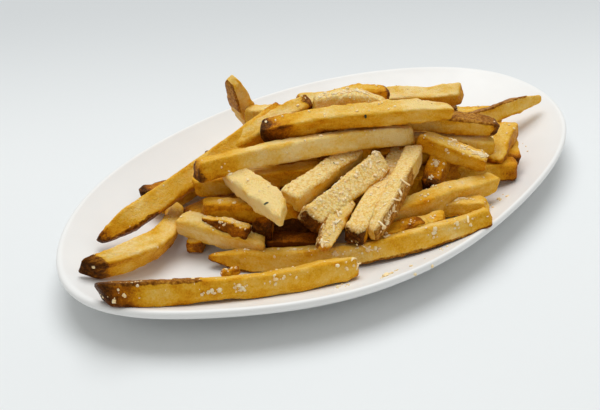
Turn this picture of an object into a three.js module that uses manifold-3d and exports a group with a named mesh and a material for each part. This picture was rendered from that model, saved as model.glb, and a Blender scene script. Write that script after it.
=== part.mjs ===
// A portion of skin-on french fries heaped on an oval glazed plate, millimetres, +Z up.
// The origin is on the table, under the middle of the plate's flat foot. +X runs along the plate.
import * as THREE from "three";
import { mergeVertices } from "three/addons/utils/BufferGeometryUtils.js";
import Module from "manifold-3d";

const wasm = await Module();
wasm.setup();

// Plate: half lengths of the oval, heights above the table, and shares of the way out to the edge.
const plateHalfLong = 128;
const plateHalfWide = 80;
const rimHeight = 16;
const floorHeight = 5;
const wallTopHeight = 15.3;
const plateThick = 4.2;
const lipFace = 3;
const floorShare = 0.64;
const wallTopShare = 0.97;
const footShare = 0.6;
const wallCurve = 1.6;
const plateSegments = 64;
// The hand-made outline isn't a true oval: [waves round the edge, cosine share, sine share].
const edgeWaves = [
  [3, 0.0015, 0.0035],
  [4, 0.0035, -0.007],
  [5, -0.0075, 0],
  [6, 0.0035, 0.005],
];

// Fries: cut square, about 8 mm a side once fried.
const cut = 8;
const fryCorner = 0.84;
const taperLength = 14;
const fryStep = 14;
const plainTips = [1, 1];
const squareCut = [0, 0];
// Clear air between the food and the glaze, and between two pieces of food that touch.
const gap = 0.3;

// Core of the heap: the middle of the pile, where no fry can be made out. Its widest part stands off the
// glaze by the share widestAt of its height.
const core = { at: [-8, -6], halfLong: 46, halfWide: 27, top: 25, widestAt: 0.25, turn: -22 };

// Cheese crumbs large enough to be seen from a step away: their size, how uneven they are, and the
// shares of a fry's length and width that they keep clear of its ends and spread over.
const crumbSize = 1.5;
const crumbUneven = 0.35;
const crumbEndClear = 0.12;
const crumbSpread = 0.7;
const crumbSeed = 7;

// Where each fry lies: the middles of its two ends, then what sets it apart from a straight square stick.
// turn rolls it about its length in degrees and twist is how far it turns on from end to end, bend
// bows it to the right of its run, arch bows it up, slant leans the cut of its first end, sideways and in
// height, tips are the shares of the section left at its two ends, crumbs is how much cheese lies on it.
const frontFry = {
  from: [-126, -11.5, 19.8], to: [-46, -57.5, 12.6], tall: 8.8,
  turn: -26, bend: 2, arch: -2, slant: [0, -0.5], tips: [1, 0.8], crumbs: 5,
};

const pointedFry = {
  from: [-76, -8, 9.4], to: [7, -77.2, 18.2], wide: 8.2, tall: 7.8,
  turn: -19, twist: -20, bend: 4.6, arch: -5, tips: [0.22, 1], crumbs: 5,
};

const floorFries = [
  pointedFry,
  {
    from: [-118.5, 8.5, 17.5], to: [-62, 32, 10.5], wide: 8.4, tall: 8.2, turn: 20, bend: 11.5,
    tips: [0.85, 1],
  },
  {
    from: [-102.2, 25.6, 15.2], to: [-10, 19, 39], wide: 8.8, tall: 8.6, turn: 42, bend: 2, arch: 1,
    tips: [0.35, 1],
  },
  { from: [-67.5, 47.2, 13], to: [-36, 32, 11.5], wide: 7.5, tall: 7, tips: [0.5, 1] },
  { from: [-75.4, 1.9, 9], to: [-46, 24, 9.4], wide: 6.8, tall: 6.8 },
  { from: [-30.6, -44.5, 10], to: [-5.8, -55.1, 10.6], wide: 7.2, tall: 7.2 },
  { from: [-11.5, -52.3, 9.9], to: [2.1, -59.7, 11.4], wide: 7, tall: 7 },
  { from: [9.9, -50.8, 10.8], to: [18.7, -67.4, 13.8], wide: 7.4, tall: 6.6, crumbs: 1 },
  { from: [20, -28, 14], to: [51, -58.4, 14.5] },
  { from: [66, -44, 15], to: [54, -54, 15], wide: 7, tall: 7 },
];

const frontFries = [
  {
    from: [-75, 9.5, 17.5], to: [-58.5, -20, 12.3], wide: 8.6, tall: 8.6, turn: 12, tips: [0.85, 1],
    crumbs: 1,
  },
  {
    from: [-70.3, 1, 19.4], to: [-62.5, -17, 17.8], wide: 5.6, tall: 7.4, turn: -10, tips: [0.5, 0.9],
    crumbs: 1,
  },
  { from: [-58.5, -18.6, 15.3], to: [-23.7, 10, 22], wide: 8.4, tall: 8.4 },
  { from: [-67.2, 4.5, 21.8], to: [-41, -23, 21.8], wide: 7.4, tall: 7.6 },
  { from: [-55.5, -17.6, 9.3], to: [-39, -35, 9.3], wide: 7.4, tall: 6.6 },
  { from: [-51.2, -44.4, 17], to: [-27, -33.5, 22], tall: 7.6, turn: 30, tips: [0.5, 1], crumbs: 2 },
  { from: [-59.2, -33.7, 31], to: [-51.7, 3.8, 31], wide: 9.2, tall: 8.2, turn: -14, slant: [-1, 0] },
  { from: [-46, -22, 26.5], to: [4, -14, 28], wide: 8.8, tall: 8.2, turn: 18, crumbs: 4 },
  { from: [-45.9, -32.6, 21.6], to: [-0.7, -29.6, 28], wide: 10.2, tall: 7.6, turn: 38, crumbs: 5 },
  { from: [-38.5, -48.6, 18], to: [18, -24, 24], wide: 8.6, crumbs: 4 },
  {
    from: [-32.4, -52.4, 17.4], to: [16, -32, 27], wide: 6.4, tall: 8.6, turn: -6, bend: 1.5, arch: 2,
    tips: [0.6, 1], crumbs: 4,
  },
  {
    from: [-18.8, -40, 13.4], to: [32.2, -60.7, 16.5], wide: 8.4, tall: 8.6, turn: 4, tips: [1, 0.8],
    crumbs: 2,
  },
  { from: [12, -44, 15], to: [30, -36, 28], crumbs: 1 },
];

const topFries = [
  { from: [-65, 9, 36], to: [20, -27, 32], wide: 8.2, tall: 8.2, turn: -12, arch: 2.5, crumbs: 1 },
  {
    from: [-32.6, 6.5, 42], to: [30.6, -38.6, 42], wide: 8.4, tall: 8.4, turn: 14, arch: 2.5,
    tips: [1, 0.6], crumbs: 2,
  },
  { from: [-46.4, 22.5, 27], to: [-4.6, 6.8, 44], wide: 8.2, turn: 20, arch: 1.5, tips: [0.6, 1] },
  { from: [-3.6, 5.8, 42.2], to: [23, -11, 44.5], wide: 8.4, arch: 2, tips: [0.8, 0.7] },
  { from: [-8, 1.5, 46], to: [15, -17.2, 43.6], wide: 8.2, tall: 7.6, arch: 2.5, tips: [1, 0.6], crumbs: 3 },
  { from: [6.9, -7.2, 37.5], to: [49.1, -48.2, 31], wide: 8.4, tall: 8.2, arch: 1, tips: [1, 0.7] },
  { from: [4, -4, 29], to: [46, -49.5, 24], wide: 7.6, tall: 7.6, tips: [1, 0.8] },
  { from: [19.8, -32.1, 30.8], to: [31.5, -56.2, 24], tall: 8.2, tips: [1, 0.8], crumbs: 3 },
  { from: [66.5, -43, 23], to: [43, -51.5, 17.6], wide: 9.6, tall: 7.6, tips: [0.9, 1] },
  { from: [1, 21, 37.5], to: [54, -26, 38], tall: 8.2, turn: 20 },
  { from: [44, -12, 16.8], to: [107, -31.4, 19.8], wide: 7.8, tall: 7.6, turn: -26, tips: [1, 0.3] },
];

const innerFries = [
  { from: [-62, 16, 25.5], to: [-20, -12, 25.5] },
  { from: [-48, 17, 27], to: [4, -19, 26], wide: 8.2, tall: 8.2 },
  { from: [30, -14, 20], to: [74, -34, 15.5] },
  { from: [36, 18, 12], to: [70, -30, 12.5] },
];

const backFries = [
  { from: [-16.6, 42.6, 49], to: [2, 46, 12], wide: 10.4, tall: 8.2, turn: 20, arch: -1.4, tips: [0.55, 1] },
  { from: [-13.4, 39, 33], to: [3, 11, 35.5], wide: 7, tall: 7 },
  { from: [-68, 36, 11], to: [8, 48, 10.5], wide: 8.2 },
  { from: [-30, 50, 12], to: [42, 38, 11.5] },
  { from: [-30, 22, 20], to: [50, 34, 16], wide: 8.2, turn: 10, bend: 2, tips: [1, 0.8], crumbs: 2 },
  { from: [10, 52, 15], to: [72, 16, 12.5], crumbs: 1 },
  { from: [20, 30, 22], to: [78, -5.5, 15.4], wide: 8.2, arch: 1, crumbs: 1 },
  { from: [-24, 38, 20], to: [30, 10, 28], crumbs: 1 },
  { from: [46, 24, 11.5], to: [92, -22, 14], tips: [1, 0.8] },
  { from: [0, 22.7, 29], to: [46, -10, 30.5] },
];

// ---------------------------------------------------------------------------------------------
// Meshes and solids

const solidOf = (geometry) => {
  const bare = geometry.clone();
  bare.deleteAttribute("normal");
  bare.deleteAttribute("uv");
  const merged = mergeVertices(bare, 1e-4);
  const mesh = new wasm.Mesh({
    numProp: 3,
    vertProperties: new Float32Array(merged.attributes.position.array),
    triVerts: new Uint32Array(merged.index.array),
  });
  return new wasm.Manifold(mesh);
};

const geometryOf = (solid) => {
  const mesh = solid.getMesh();
  const geometry = new THREE.BufferGeometry();
  geometry.setAttribute("position", new THREE.BufferAttribute(mesh.vertProperties, 3));
  geometry.setIndex(new THREE.BufferAttribute(mesh.triVerts, 1));
  geometry.computeVertexNormals();
  return geometry;
};

// Moves every vertex of a geometry to where place(vertex) puts it.
const reshape = (geometry, place) => {
  const position = geometry.attributes.position;
  const vertex = new THREE.Vector3();
  for (let i = 0; i < position.count; i += 1) {
    place(vertex.fromBufferAttribute(position, i));
    position.setXYZ(i, vertex.x, vertex.y, vertex.z);
  }
  return geometry;
};

// The outer body of a join: sealed hollows are filled and loose scraps dropped.
const largestBody = (solid) =>
  solid.decompose().reduce((best, body) => (body.volume() > best.volume() ? body : best));

// Even random numbers from 0 to 1, the same on each run.
const random = (() => {
  const factor = 16807;
  const modulus = 2147483647;
  let state = crumbSeed;
  return () => {
    state = (state * factor) % modulus;
    return state / modulus;
  };
})();

// ---------------------------------------------------------------------------------------------
// Plate

const edgeFactor = (angle) =>
  edgeWaves.reduce((sum, [n, c, s]) => sum + c * Math.cos(n * angle) + s * Math.sin(n * angle), 1);

const wallHeight = (share) => {
  const climb = THREE.MathUtils.clamp((share - floorShare) / (wallTopShare - floorShare), 0, 1);
  return floorHeight + (wallTopHeight - floorHeight) * climb ** wallCurve;
};

// Spins a profile of [share of the way out, height] and stretches it to the plate's uneven oval.
const ovalSolid = (profile) => {
  const points = profile.map(([share, height]) => new THREE.Vector2(share, height));
  const lathe = new THREE.LatheGeometry(points, plateSegments).rotateX(Math.PI / 2);
  return reshape(lathe, (v) => {
    const factor = edgeFactor(Math.atan2(v.y, v.x));
    v.x *= plateHalfLong * factor;
    v.y *= plateHalfWide * factor;
  });
};

const innerProfile = (lift) => {
  const shares = [0.94, 0.9, 0.86, 0.82, 0.78, 0.73, 0.68, floorShare];
  return [...shares.map((share) => [share, wallHeight(share) + lift]), [0, floorHeight + lift]];
};

const plateGeometry = () => {
  const under = [0.7, 0.8, 0.9].map((share) => [share, wallHeight(share) - plateThick]);
  const lip = [
    [0.985, rimHeight - lipFace - 0.3],
    [0.997, rimHeight - lipFace + 0.3],
    [1, rimHeight - lipFace / 2],
    [0.996, rimHeight - 0.4],
    [0.987, rimHeight],
    [0.977, rimHeight - 0.2],
  ];
  const foot = [
    [0, 0],
    [footShare, 0],
    [footShare + 0.012, 1],
  ];
  return ovalSolid([...foot, ...under, ...lip, ...innerProfile(0)]);
};

// All the room that the plate takes, raised by the gap, for cutting the food clear of it.
const plateRoom = () => {
  const outside = 1.2;
  const below = -10;
  return solidOf(
    ovalSolid([
      [0, below],
      [outside, below],
      [outside, rimHeight + gap],
      [wallTopShare, rimHeight + gap],
      [wallTopShare - 0.005, wallTopHeight + gap],
      ...innerProfile(gap),
    ]),
  );
};

// ---------------------------------------------------------------------------------------------
// Fries

// The fry's own directions: along its run, level and rise across it, and left and up, which its turn
// has rolled about the run.
const directionsOf = ({ from, to, turn = 0 }) => {
  const start = new THREE.Vector3(...from);
  const run = new THREE.Vector3(...to).sub(start);
  const along = run.clone().normalize();
  const level = new THREE.Vector3(0, 0, 1).cross(along).normalize();
  const rise = along.clone().cross(level);
  const left = level.clone().applyAxisAngle(along, THREE.MathUtils.degToRad(turn));
  const up = rise.clone().applyAxisAngle(along, THREE.MathUtils.degToRad(turn));
  return { start, run, along, level, rise, left, up };
};

// The middle of the fry's section at a share of its length.
const middleAt = ({ bend = 0, arch = 0 }, { start, run, level, rise }, share) => {
  const bow = 4 * share * (1 - share);
  return start
    .clone()
    .addScaledVector(run, share)
    .addScaledVector(level, -bend * bow)
    .addScaledVector(rise, arch * bow);
};

// The share of the full section that is left at a place near a tapered end.
const taperAt = (tip, distance) => tip + (1 - tip) * Math.min(1, distance / taperLength) ** 0.7;

const fryGeometry = (fry) => {
  const { wide = cut, tall = cut, twist = 0, slant = squareCut, tips = plainTips } = fry;
  const ways = directionsOf(fry);
  const length = ways.run.length();
  const steps = Math.max(3, Math.round(length / fryStep));
  return reshape(new THREE.BoxGeometry(1, 1, 1, steps, 2, 2), (v) => {
    const share = v.x + 0.5;
    const taper = Math.min(taperAt(tips[0], share * length), taperAt(tips[1], (1 - share) * length));
    const corner = Math.abs(v.y * v.z) > 0 ? fryCorner : 1;
    const middle = middleAt(fry, ways, share);
    const across = v.y * wide * corner * taper;
    const above = v.z * tall * corner * taper;
    const section = new THREE.Vector2(across, above).rotateAround(
      new THREE.Vector2(),
      THREE.MathUtils.degToRad(twist * (share - 0.5)),
    );
    v.copy(middle).addScaledVector(ways.left, section.x).addScaledVector(ways.up, section.y);
    if (share === 0) v.addScaledVector(ways.along, slant[0] * across + slant[1] * above);
  });
};

// One crumb of cheese, half sunk in the fry's upper face.
const crumbGeometry = (fry) => {
  const { wide = cut, tall = cut } = fry;
  const ways = directionsOf(fry);
  const share = crumbEndClear + (1 - 2 * crumbEndClear) * random();
  const across = (random() - 0.5) * wide * crumbSpread;
  const at = middleAt(fry, ways, share)
    .addScaledVector(ways.left, across)
    .addScaledVector(ways.up, tall / 2);
  const size = () => crumbSize * (1 + crumbUneven * (2 * random() - 1));
  const crumb = new THREE.IcosahedronGeometry(1, 0).scale(size(), size(), size());
  return crumb.rotateZ(Math.PI * random()).translate(at.x, at.y, at.z);
};

const crumbsOf = (fries) =>
  fries.flatMap((fry) => Array.from({ length: fry.crumbs ?? 0 }, () => solidOf(crumbGeometry(fry))));

const coreGeometry = () => {
  const low = floorHeight + gap;
  const mound = new THREE.SphereGeometry(1, 20, 12).rotateX(Math.PI / 2);
  reshape(mound, (v) => {
    v.x *= core.halfLong;
    v.y *= core.halfWide;
    v.z = low + (core.top - low) * Math.max(0, v.z * (1 - core.widestAt) + core.widestAt);
  });
  return mound.rotateZ(THREE.MathUtils.degToRad(core.turn)).translate(core.at[0], core.at[1], 0);
};

// ---------------------------------------------------------------------------------------------
// The object

const glaze = new THREE.MeshStandardMaterial({ color: "#f0efe9", roughness: 0.18, metalness: 0 });
const friedPotato = new THREE.MeshStandardMaterial({ color: "#c98f33", roughness: 0.6, metalness: 0 });
const crispPotato = new THREE.MeshStandardMaterial({ color: "#b87b1c", roughness: 0.6, metalness: 0 });

const named = (name, geometry, material) => {
  const mesh = new THREE.Mesh(geometry, material);
  mesh.name = name;
  return mesh;
};

const foodNode = (name, solids, material) => {
  const joined = wasm.Manifold.union(solids).subtract(plateRoom());
  return named(name, geometryOf(largestBody(joined)), material);
};

const heapedFries = [...floorFries, ...frontFries, ...topFries, ...innerFries, ...backFries];
const heap = [
  solidOf(coreGeometry()),
  ...heapedFries.map((fry) => solidOf(fryGeometry(fry))),
  ...crumbsOf(heapedFries),
];

const portion = new THREE.Group();
portion.add(named("plate", plateGeometry(), glaze));
portion.add(foodNode("fries", heap, friedPotato));
portion.add(foodNode("front_fry", [solidOf(fryGeometry(frontFry)), ...crumbsOf([frontFry])], crispPotato));

export default portion;
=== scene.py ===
"""A portion of skin-on french fries with grated cheese, heaped on an oval glazed plate."""

import math
import random

import bmesh
import bpy
import numpy as np
from mathutils import Matrix, Vector, noise
from mathutils.bvhtree import BVHTree


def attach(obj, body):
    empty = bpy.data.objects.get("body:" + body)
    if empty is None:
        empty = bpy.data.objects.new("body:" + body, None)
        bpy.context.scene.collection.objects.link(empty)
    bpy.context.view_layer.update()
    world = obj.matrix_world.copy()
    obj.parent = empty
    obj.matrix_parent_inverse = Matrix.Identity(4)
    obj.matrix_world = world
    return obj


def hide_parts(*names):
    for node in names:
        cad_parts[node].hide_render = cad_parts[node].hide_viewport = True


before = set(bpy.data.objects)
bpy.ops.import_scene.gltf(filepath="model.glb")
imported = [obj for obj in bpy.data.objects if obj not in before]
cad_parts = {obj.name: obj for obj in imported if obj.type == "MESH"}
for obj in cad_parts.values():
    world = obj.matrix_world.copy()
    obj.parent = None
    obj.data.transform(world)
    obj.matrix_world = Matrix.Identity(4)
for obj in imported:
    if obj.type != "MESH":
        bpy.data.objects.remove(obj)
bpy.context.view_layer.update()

MM = 0.001
UP = Vector((0, 0, 1))

# Plate, as it is built: half lengths, heights above the table, shares of the way out to the edge.
PLATE_HALF_LONG = 128
PLATE_HALF_WIDE = 80
RIM_HEIGHT = 16
FLOOR_HEIGHT = 5
WALL_TOP_HEIGHT = 15.3
PLATE_THICK = 4.2
LIP_FACE = 3
FLOOR_SHARE = 0.64
WALL_TOP_SHARE = 0.97
FOOT_SHARE = 0.6
WALL_CURVE = 1.6
EDGE_WAVES = ((3, 0.0015, 0.0035), (4, 0.0035, -0.007), (5, -0.0075, 0), (6, 0.0035, 0.005))

# Fries: the plain cut, the length of a tapered end, and the air kept between food and glaze.
CUT = 8
TAPER_LENGTH = 14
GAP = 0.3


def fry(start, end, **looks):
    """One fry: where its two ends lie, in mm, and what sets it apart from a plain straight one."""
    plain = dict(
        wide=CUT, tall=CUT, turn=0, twist=0, bend=0, arch=0, tips=(1, 1), slant=(0, 0), tone=0.4,
        tone_end=None, sides=0.14, brown=(0, 0), peel=(0, 0), skin="", skin_span=(0, 1), cheese=0, dust=0.06,
    )
    plain.update(looks, start=start, end=end)
    return plain


# wide and tall are a fry's section in mm, and tips is how much of it is left at each end. turn rolls it
# about its length in degrees, and twist is how far it turns on from end to end. bend bows it to the right
# of its run, arch bows it up, slant leans the cut of its first end, sideways and in height. tone runs from
# 0, cream, to 1, deep golden, and to tone_end along the fry. The palest lie a little below 0, and those
# deep in the heap past 1, painted dark as shade down the gaps. sides is how much darker the faces that
# don't look up are painted, as shade. brown is how many mm of each end fried darker, peel how many mm of
# it are skin. skin names the sides that kept their skin, over skin_span of the length. cheese is how many
# crumbs are dropped on the fry, dust how thick the powder of cheese is there, from 0 to 1.
FRONT_FRY = {
    "long_front": fry(
        (-126, -11.5, 19.8), (-46, -57.5, 12.6), tall=8.8, turn=-26, bend=2, arch=-2, tips=(1, 0.8),
        slant=(0, -0.5), tone=0.7, tone_end=0.52, sides=0.06, brown=(12, 0), peel=(2.4, 0), skin="top",
        skin_span=(0, 0.4), cheese=34,
    ),
}

FLOOR_FRIES = {
    "pointed": fry(
        (-76, -8, 9.4), (7, -77.2, 18.2), wide=8.2, tall=7.8, turn=-19, twist=-20, bend=4.6, arch=-5,
        tips=(0.22, 1), tone=0.42, tone_end=0.34, sides=0.1, skin="under", brown=(5, 0), cheese=44,
        dust=0.25,
    ),
    "curved": fry(
        (-118.5, 8.5, 17.5), (-62, 32, 10.5), wide=8.4, tall=8.2, turn=20, bend=11.5, tips=(0.85, 1),
        tone=0.1, tone_end=0.55, sides=0.36, brown=(5, 0), peel=(3.4, 0), cheese=5,
    ),
    "long_left": fry(
        (-102.2, 25.6, 15.2), (-10, 19, 39), wide=8.8, tall=8.6, turn=42, bend=2, arch=1, tips=(0.35, 1),
        tone=0.3, tone_end=0.66, sides=0.34, brown=(4, 0), peel=(2, 0), skin="right", skin_span=(0, 0.28),
        cheese=4,
    ),
    "far_left_tip": fry(
        (-67.5, 47.2, 13), (-36, 32, 11.5), wide=7.5, tall=7, tips=(0.5, 1), tone=0.7, brown=(12, 0),
        peel=(3, 0), skin="left",
    ),
    "low_left": fry((-75.4, 1.9, 9), (-46, 24, 9.4), wide=6.8, tall=6.8, tone=0.42, sides=0.4),
    "low_scrap": fry(
        (-79, -18.6, 8), (-73, -22.2, 8.2), wide=4.6, tall=4, tips=(0.6, 0.7), tone=0.8, cheese=9,
    ),
    "low_middle": fry(
        (-30.6, -44.5, 10), (-5.8, -55.1, 10.6), wide=7.2, tall=7.2, tone=0.74, brown=(0, 5), cheese=10,
    ),
    "low_gold": fry(
        (-11.5, -52.3, 9.9), (2.1, -59.7, 11.4), wide=7, tall=7, tone=0.5, sides=0.05, cheese=6,
    ),
    "low_right": fry(
        (9.9, -50.8, 10.8), (18.7, -67.4, 13.8), wide=7.4, tall=6.6, tone=0.34, sides=0.1, cheese=8,
    ),
    "right_end": fry((20, -28, 14), (51, -58.4, 14.5), tone=0.56, sides=0.06, skin="under", brown=(0, 3)),
    "right_end_under": fry((66, -44, 15), (54, -54, 15), wide=7, tall=7, tone=0.66, brown=(0, 4)),
}

FRONT_FRIES = {
    "left_low_pale": fry(
        (-75, 9.5, 17.5), (-58.5, -20, 12.3), wide=8.6, tall=8.6, turn=12, tips=(0.85, 1), tone=0.1,
        sides=0.04, cheese=12,
    ),
    "left_low_brown": fry(
        (-70.3, 1, 19.4), (-62.5, -17, 17.8), wide=5.6, tall=7.4, turn=-10, tips=(0.5, 0.9), tone=0.2,
        sides=0.75, cheese=22, dust=0.3,
    ),
    "left_deep": fry(
        (-58.5, -18.6, 15.3), (-23.7, 10, 22), wide=8.4, tall=8.4, tone=0.62, brown=(7, 0), peel=(2.5, 0),
    ),
    "left_orange": fry(
        (-67.2, 4.5, 21.8), (-41, -23, 21.8), wide=7.4, tall=7.6, tone=0.62, sides=0.2, cheese=6,
    ),
    # Painted shade: a tone past 1 makes this fry low in the heap dark.
    "low_deep": fry((-55.5, -17.6, 9.3), (-39, -35, 9.3), wide=7.4, tall=6.6, tone=1.5, sides=0.4),
    "stringy": fry(
        (-51.2, -44.4, 17), (-27, -33.5, 22), tall=7.6, turn=30, tips=(0.5, 1), tone=0.22, sides=0.3,
        skin="left", skin_span=(0, 0.8), cheese=26, dust=0.6,
    ),
    "short_cream": fry(
        (-59.2, -33.7, 31), (-51.7, 3.8, 31), wide=9.2, tall=8.2, turn=-14, tips=(0.8, 0.95),
        slant=(-1, 0), tone=-0.12, sides=0.05, cheese=12, dust=0.5,
    ),
    "crusted_left": fry(
        (-46, -22, 26.5), (4, -14, 28), wide=8.8, tall=8.2, turn=18, tone=0, sides=0.2, cheese=18,
        dust=0.9,
    ),
    "crusted_middle": fry(
        (-45.9, -32.6, 21.6), (-0.7, -29.6, 28), wide=10.2, tall=7.6, turn=38, tone=-0.05, sides=0.3,
        brown=(4, 0), peel=(1.5, 0), cheese=26, dust=1,
    ),
    "crusted_low": fry(
        (-38.5, -48.6, 18), (18, -24, 24), wide=8.6, tone=0.06, sides=0.3, brown=(4, 0), peel=(2, 0),
        cheese=18, dust=0.85,
    ),
    "narrow_skinned": fry(
        (-32.4, -52.4, 17.4), (16, -32, 27), wide=6.4, tall=8.6, turn=-6, bend=1.5, arch=2, tips=(0.6, 1),
        tone=-0.1, skin="right", skin_span=(0, 0.7), cheese=18, dust=0.8,
    ),
    "right_low_pale": fry(
        (-18.8, -40, 13.4), (32.2, -60.7, 16.5), wide=8.4, tall=8.6, turn=4, tips=(1, 0.8), tone=0.42,
        tone_end=0.34, sides=0.06, cheese=22,
    ),
    "right_short": fry((12, -44, 15), (30, -36, 28), tone=0.62, brown=(8, 0), peel=(3, 0), cheese=26),
}

TOP_FRIES = {
    "top_long_left": fry(
        (-65, 9, 36), (20, -27, 32), wide=8.2, tall=8.2, turn=-12, arch=2.5, tone=0.16, sides=0.04,
        brown=(18, 0), peel=(0.8, 0), cheese=14,
    ),
    "top_bright": fry(
        (-32.6, 6.5, 42), (30.6, -38.6, 42), wide=8.4, tall=8.4, turn=14, arch=2.5, tips=(1, 0.6),
        tone=0.58, tone_end=-0.05, sides=0.27, brown=(10, 0), peel=(2.2, 0), cheese=20,
    ),
    "top_far_left": fry(
        (-46.4, 22.5, 27), (-4.6, 6.8, 44), wide=8.2, turn=20, arch=1.5, tips=(0.6, 1), tone=0.6,
        tone_end=0.06, brown=(0, 3), peel=(0, 2.6), cheese=6,
    ),
    "top_orange_tip": fry(
        (-3.6, 5.8, 42.2), (23, -11, 44.5), wide=8.4, arch=2, tips=(0.8, 0.7), tone=0.45, tone_end=0.6,
        sides=0.05, peel=(0, 0.5), cheese=3,
    ),
    "top_short_pale": fry(
        (-8, 1.5, 46), (15, -17.2, 43.6), wide=8.2, tall=7.6, arch=2.5, tips=(1, 0.6), tone=0.1,
        sides=0.1, cheese=60, dust=0.8,
    ),
    "right_skinned": fry(
        (6.9, -7.2, 37.5), (49.1, -48.2, 31), wide=8.4, tall=8.2, arch=1, tips=(1, 0.7), tone=0.34,
        sides=0.12, brown=(0, 2), peel=(0, 1.5), skin="top", skin_span=(0.5, 1), cheese=6,
    ),
    "right_yellow": fry(
        (4, -4, 29), (46, -49.5, 24), wide=7.6, tall=7.6, tips=(1, 0.8), tone=0.3, cheese=4,
    ),
    "right_cross": fry(
        (19.8, -32.1, 30.8), (31.5, -56.2, 24), tall=8.2, tips=(1, 0.8), tone=0.26, sides=0.2, cheese=40,
        dust=0.4,
    ),
    "right_leaning": fry(
        (66.5, -43, 23), (43, -51.5, 17.6), wide=9.6, tall=7.6, tips=(0.9, 1), tone=0.42, sides=0.4,
        cheese=8,
    ),
    "far_right": fry((1, 21, 37.5), (54, -26, 38), tall=8.2, turn=20, tone=0.06, sides=0.4, cheese=4),
    "far_right_tip": fry(
        (44, -12, 16.8), (107, -31.4, 19.8), wide=7.8, tall=7.6, turn=-26, tips=(1, 0.3), tone=0.46,
        sides=0.12, skin="top", skin_span=(0, 0.9), cheese=3,
    ),
}

BACK_FRIES = {
    "upright": fry(
        (-16.6, 42.6, 49), (2, 46, 12), wide=10.4, tall=8.2, turn=20, arch=-1.4, tips=(0.55, 1),
        tone=0.24, sides=0, skin="under", skin_span=(0, 0.36),
    ),
    "behind_upright": fry((-13.4, 39, 33), (3, 11, 35.5), wide=7, tall=7, tone=0.3, sides=0.1),
    "back_left": fry(
        (-68, 36, 11), (8, 48, 10.5), wide=8.2, tone=0.5, brown=(0, 8), peel=(0, 3), cheese=10,
    ),
    "back_low": fry((-30, 50, 12), (42, 38, 11.5), tone=0.36, brown=(9, 0), peel=(4, 0), cheese=14),
    "back_middle": fry(
        (-30, 22, 20), (50, 34, 16), wide=8.2, turn=10, bend=2, tips=(1, 0.8), tone=0.34, cheese=30,
        dust=0.3,
    ),
    "back_outer": fry((10, 52, 15), (72, 16, 12.5), tone=0.46, skin="left", cheese=24),
    "back_right": fry(
        (20, 30, 22), (78, -5.5, 15.4), wide=8.2, arch=1, tone=0.22, brown=(0, 8), peel=(0, 3), cheese=34,
        dust=0.4,
    ),
    "back_cross": fry(
        (-24, 38, 20), (30, 10, 28), tone=0.42, brown=(9, 0), peel=(3, 0), cheese=26, dust=0.3,
    ),
    "back_right_low": fry((46, 24, 11.5), (92, -22, 14), tips=(1, 0.8), tone=0.5, cheese=16),
    "back_high": fry((0, 22.7, 29), (46, -10, 30.5), tone=0.3, cheese=16),
}

# Inside the heap: what shows only in the gaps between the others. Those with a tone past 1 are painted dark
# as shade down the gaps.
INNER_FRIES = {
    "inner_left": fry((-62, 16, 25.5), (-20, -12, 25.5), tone=0.5),
    "inner_top": fry((-48, 17, 27), (4, -19, 26), wide=8.2, tall=8.2, tone=0.6),
    "inner_right": fry((30, -14, 20), (74, -34, 15.5), tone=0.5),
    "inner_right_low": fry((36, 18, 12), (70, -30, 12.5), tone=0.5),
    "inner_front": fry((-8, -30, 15), (44, -44, 17), tone=0.85),
    "inner_front_high": fry((6, -18, 23), (38, -42, 24.5), tone=0.85),
    "inner_middle": fry((-50, -6, 16), (20, 8, 20), tone=1.3),
    "inner_left_low": fry((-66.7, 13.4, 13), (-40.2, 4.3, 17.5), wide=9, tall=9, tone=1),
    "inner_back": fry((-52, 30, 17), (-4, 6, 24), tone=0.7),
    "inner_back_right": fry((-2, 30, 18), (60, 4, 20), tone=0.7),
    "inner_core": fry((-30, -26, 13), (40, 6, 22), tone=1.4),
    "inner_under_left": fry((-26.8, -37.8, 10), (-4, -20, 14), tone=1.2),
}


# ------------------------------------------------------------------------------------------------
# Working by hand in the viewport's own steps


def nothing_selected():
    if bpy.context.mode != "OBJECT":
        bpy.ops.object.mode_set(mode="OBJECT")
    bpy.ops.object.select_all(action="DESELECT")


def pick(kind, wanted):
    """Selects, in edit mode, the vertices, edges or faces that wanted() says yes to, and no others."""
    bpy.ops.mesh.select_mode(type=kind)
    bpy.ops.mesh.select_all(action="DESELECT")
    shape = bmesh.from_edit_mesh(bpy.context.object.data)
    parts = {"VERT": shape.verts, "EDGE": shape.edges, "FACE": shape.faces}[kind]
    for part in parts:
        if wanted(part):
            part.select_set(True)
    shape.select_flush_mode()
    bmesh.update_edit_mesh(bpy.context.object.data)


def new_cube():
    """A cube one across, all selected and in edit mode."""
    nothing_selected()
    bpy.ops.mesh.primitive_cube_add(size=1)
    bpy.ops.object.mode_set(mode="EDIT")
    return bpy.context.object


def points_of(mesh):
    flat = np.empty(len(mesh.vertices) * 3, dtype=np.float32)
    mesh.vertices.foreach_get("co", flat)
    return flat.reshape(-1, 3).astype(float)


def set_points(mesh, points):
    mesh.vertices.foreach_set("co", np.asarray(points, dtype=np.float32).ravel())
    mesh.update()


def normals_of(mesh):
    flat = np.empty(len(mesh.vertices) * 3, dtype=np.float32)
    mesh.vertices.foreach_get("normal", flat)
    return flat.reshape(-1, 3).astype(float)


def keep_numbers(mesh, name, values):
    mark = mesh.attributes.new(name, "FLOAT", "POINT")
    mark.data.foreach_set("value", np.asarray(values, dtype=np.float32))


def keep_places(mesh, name, places):
    mark = mesh.attributes.new(name, "FLOAT_VECTOR", "POINT")
    mark.data.foreach_set("vector", np.asarray(places, dtype=np.float32).ravel())


def link(name, mesh):
    made = bpy.data.objects.new(name, mesh)
    bpy.context.scene.collection.objects.link(made)
    return made


def waver(places, size, seed):
    """Smooth noise from -1 to 1 at each place, with bumps of that size, in the places' own unit."""
    away = Vector((seed * 17.3, seed * 5.1, seed * 9.7))
    return np.array([noise.noise(Vector(p) / size + away) for p in places])


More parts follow.
